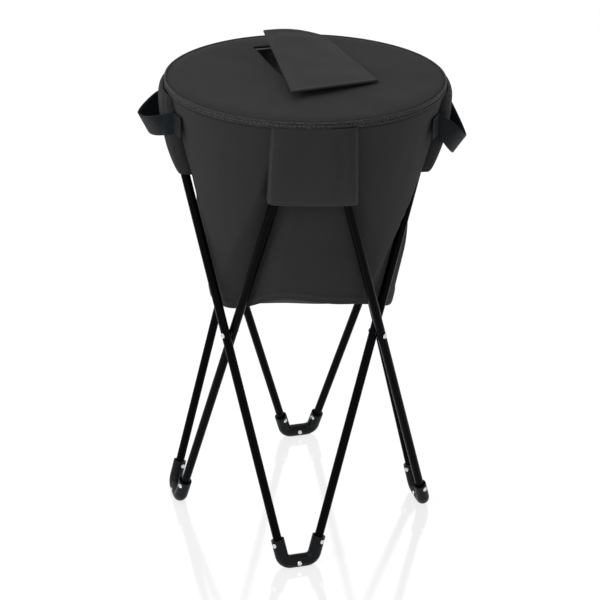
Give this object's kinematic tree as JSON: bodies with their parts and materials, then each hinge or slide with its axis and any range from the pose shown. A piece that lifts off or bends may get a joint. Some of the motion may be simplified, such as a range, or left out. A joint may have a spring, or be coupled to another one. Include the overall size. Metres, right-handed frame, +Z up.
{
  "type": "cooler tub stand",
  "caption": "Soft round insulated drinks tub with a zipped lid, hatch flap and webbing handles, hung on a folding scissor stand of black tubes with moulded corner hubs",
  "frame": {"origin": "on the floor under the tub's axis", "axes": "+Z up, -Y to the front foot, +X to the right of a viewer facing the front"},
  "size_m": [0.5997, 0.5128, 0.88],
  "materials": {
    "leg_paint": "gloss black powder coat",
    "hub_plastic": "satin moulded",
    "rivet_steel": "bright",
    "tub_fabric": "plain weave polyester",
    "webbing": "flat webbing",
    "liner_film": "soft foil-grey film",
    "zip_tape": "coil zip tape",
    "zip_metal": "dark enamel"
  },
  "bodies": {
    "front_foot": {"front_foot": "hub_plastic", "front_foot_rivets": "rivet_steel"},
    "front_top": {"front_top": "hub_plastic", "front_top_rivets": "rivet_steel"},
    "front_outer_leg": {"front_outer_leg": "leg_paint", "front_cross_rivet": "rivet_steel", "front_cross_spacer": "hub_plastic"},
    "front_inner_leg": {"front_inner_leg": "leg_paint"},
    "left_foot": {"left_foot": "hub_plastic", "left_foot_rivets": "rivet_steel"},
    "left_top": {"left_top": "hub_plastic", "left_top_rivets": "rivet_steel"},
    "left_outer_leg": {"left_outer_leg": "leg_paint", "left_cross_rivet": "rivet_steel", "left_cross_spacer": "hub_plastic"},
    "left_inner_leg": {"left_inner_leg": "leg_paint"},
    "back_foot": {"back_foot": "hub_plastic", "back_foot_rivets": "rivet_steel"},
    "back_top": {"back_top": "hub_plastic", "back_top_rivets": "rivet_steel", "tub_wall": "tub_fabric", "tub_liner": "liner_film", "tub_floor": "tub_fabric", "front_pocket": "tub_fabric", "left_pocket": "tub_fabric", "back_pocket": "tub_fabric", "right_pocket": "tub_fabric", "rim_tape": "tub_fabric", "lower_zip_tape": "zip_tape", "left_handle_patches": "webbing", "right_handle_patches": "webbing"},
    "back_outer_leg": {"back_outer_leg": "leg_paint", "back_cross_rivet": "rivet_steel", "back_cross_spacer": "hub_plastic"},
    "back_inner_leg": {"back_inner_leg": "leg_paint"},
    "right_foot": {"right_foot": "hub_plastic", "right_foot_rivets": "rivet_steel"},
    "right_top": {"right_top": "hub_plastic", "right_top_rivets": "rivet_steel"},
    "right_outer_leg": {"right_outer_leg": "leg_paint", "right_cross_rivet": "rivet_steel", "right_cross_spacer": "hub_plastic"},
    "right_inner_leg": {"right_inner_leg": "leg_paint"},
    "lid": {"lid_panel": "tub_fabric", "lid_lining": "liner_film", "upper_zip_tape": "zip_tape"},
    "flap": {"hatch_flap": "tub_fabric"},
    "left_handle": {"left_handle": "webbing"},
    "right_handle": {"right_handle": "webbing"},
    "zip_slider": {"zip_slider": "zip_metal", "zip_pull": "zip_metal"}
  },
  "joints": [
    {"name": "stand_fold", "type": "hinge", "parent": "back_foot", "child": "back_outer_leg", "pos_m": [0.0424, 0.2338, 0.046], "axis": [-0.7071, -0.7071, 0], "range_deg": [0, 17.5], "deforming": ["tub_wall", "tub_liner", "tub_floor", "front_pocket", "left_pocket", "back_pocket", "right_pocket", "rim_tape", "lower_zip_tape", "upper_zip_tape", "lid_panel", "lid_lining", "hatch_flap", "left_handle", "right_handle", "left_handle_patches", "right_handle_patches"]},
    {"name": "back_cross", "type": "hinge", "parent": "back_outer_leg", "child": "back_inner_leg", "pos_m": [0.13152, 0.13152, 0.424], "axis": [0.7071, 0.7071, 0], "range_deg": [0, 35]},
    {"name": "back_top_turn", "type": "hinge", "parent": "back_inner_leg", "child": "back_top", "pos_m": [0.02924, 0.22065, 0.802], "axis": [-0.7071, -0.7071, 0], "range_deg": [0, 17.5]},
    {"name": "right_foot_turn", "type": "hinge", "parent": "back_inner_leg", "child": "right_foot", "pos_m": [0.22065, 0.02924, 0.046], "axis": [-0.7071, -0.7071, 0], "range_deg": [0, 17.5]},
    {"name": "right_top_turn", "type": "hinge", "parent": "back_outer_leg", "child": "right_top", "pos_m": [0.2338, 0.0424, 0.802], "axis": [0.7071, 0.7071, 0], "range_deg": [0, 17.5]},
    {"name": "right_outer_turn", "type": "hinge", "parent": "right_foot", "child": "right_outer_leg", "pos_m": [0.2338, -0.0424, 0.046], "axis": [-0.7071, 0.7071, 0], "range_deg": [0, 17.5]},
    {"name": "right_cross", "type": "hinge", "parent": "right_outer_leg", "child": "right_inner_leg", "pos_m": [0.13152, -0.13152, 0.424], "axis": [0.7071, -0.7071, 0], "range_deg": [0, 35]},
    {"name": "front_foot_turn", "type": "hinge", "parent": "right_inner_leg", "child": "front_foot", "pos_m": [0.02924, -0.22065, 0.046], "axis": [-0.7071, 0.7071, 0], "range_deg": [0, 17.5]},
    {"name": "front_top_turn", "type": "hinge", "parent": "right_outer_leg", "child": "front_top", "pos_m": [0.0424, -0.2338, 0.802], "axis": [0.7071, -0.7071, 0], "range_deg": [0, 17.5]},
    {"name": "left_inner_turn", "type": "hinge", "parent": "back_foot", "child": "left_inner_leg", "pos_m": [-0.02924, 0.22065, 0.046], "axis": [-0.7071, 0.7071, 0], "range_deg": [0, 17.5]},
    {"name": "left_cross", "type": "hinge", "parent": "left_inner_leg", "child": "left_outer_leg", "pos_m": [-0.13152, 0.13152, 0.424], "axis": [0.7071, -0.7071, 0], "range_deg": [0, 35]},
    {"name": "left_foot_turn", "type": "hinge", "parent": "left_outer_leg", "child": "left_foot", "pos_m": [-0.2338, 0.0424, 0.046], "axis": [-0.7071, 0.7071, 0], "range_deg": [0, 17.5]},
    {"name": "left_top_turn", "type": "hinge", "parent": "left_inner_leg", "child": "left_top", "pos_m": [-0.22065, 0.02924, 0.802], "axis": [0.7071, -0.7071, 0], "range_deg": [0, 17.5]},
    {"name": "front_inner_turn", "type": "hinge", "parent": "left_foot", "child": "front_inner_leg", "pos_m": [-0.22065, -0.02924, 0.046], "axis": [-0.7071, -0.7071, 0], "range_deg": [0, 17.5]},
    {"name": "front_cross", "type": "hinge", "parent": "front_inner_leg", "child": "front_outer_leg", "pos_m": [-0.13152, -0.13152, 0.424], "axis": [0.7071, 0.7071, 0], "range_deg": [0, 35]},
    {"name": "lid_open", "type": "hinge", "parent": "back_top", "child": "lid", "pos_m": [0, 0.2433, 0.85285], "axis": [-1, 0, 0], "range_deg": [0, 100]},
    {"name": "flap_open", "type": "hinge", "parent": "lid", "child": "flap", "pos_m": [0.08209, 0.08072, 0.8661], "axis": [-0.309, 0.9511, 0], "range_deg": [-5, 160]},
    {"name": "left_handle_swing", "type": "hinge", "parent": "back_top", "child": "left_handle", "pos_m": [-0.2314, 0, 0.8], "axis": [0, 1, 0], "range_deg": [-40, 60], "deforming": ["left_handle"]},
    {"name": "right_handle_swing", "type": "hinge", "parent": "back_top", "child": "right_handle", "pos_m": [0.2362, 0, 0.8], "axis": [0, -1, 0], "range_deg": [-40, 60], "deforming": ["right_handle"]},
    {"name": "zip_travel", "type": "hinge", "parent": "back_top", "child": "zip_slider", "pos_m": [0, 0, 0.8527], "axis": [0, 0, 1], "range_deg": [0, 336]}
  ],
  "couplings": [
    {"joint": "back_cross", "follows": "stand_fold", "ratio": 2},
    {"joint": "back_top_turn", "follows": "stand_fold", "ratio": 1},
    {"joint": "right_foot_turn", "follows": "stand_fold", "ratio": 1},
    {"joint": "right_top_turn", "follows": "stand_fold", "ratio": 1},
    {"joint": "right_outer_turn", "follows": "stand_fold", "ratio": 1},
    {"joint": "right_cross", "follows": "stand_fold", "ratio": 2},
    {"joint": "front_foot_turn", "follows": "stand_fold", "ratio": 1},
    {"joint": "front_top_turn", "follows": "stand_fold", "ratio": 1},
    {"joint": "left_inner_turn", "follows": "stand_fold", "ratio": 1},
    {"joint": "left_cross", "follows": "stand_fold", "ratio": 2},
    {"joint": "left_foot_turn", "follows": "stand_fold", "ratio": 1},
    {"joint": "left_top_turn", "follows": "stand_fold", "ratio": 1},
    {"joint": "front_inner_turn", "follows": "stand_fold", "ratio": 1},
    {"joint": "front_cross", "follows": "stand_fold", "ratio": 2}
  ]
}
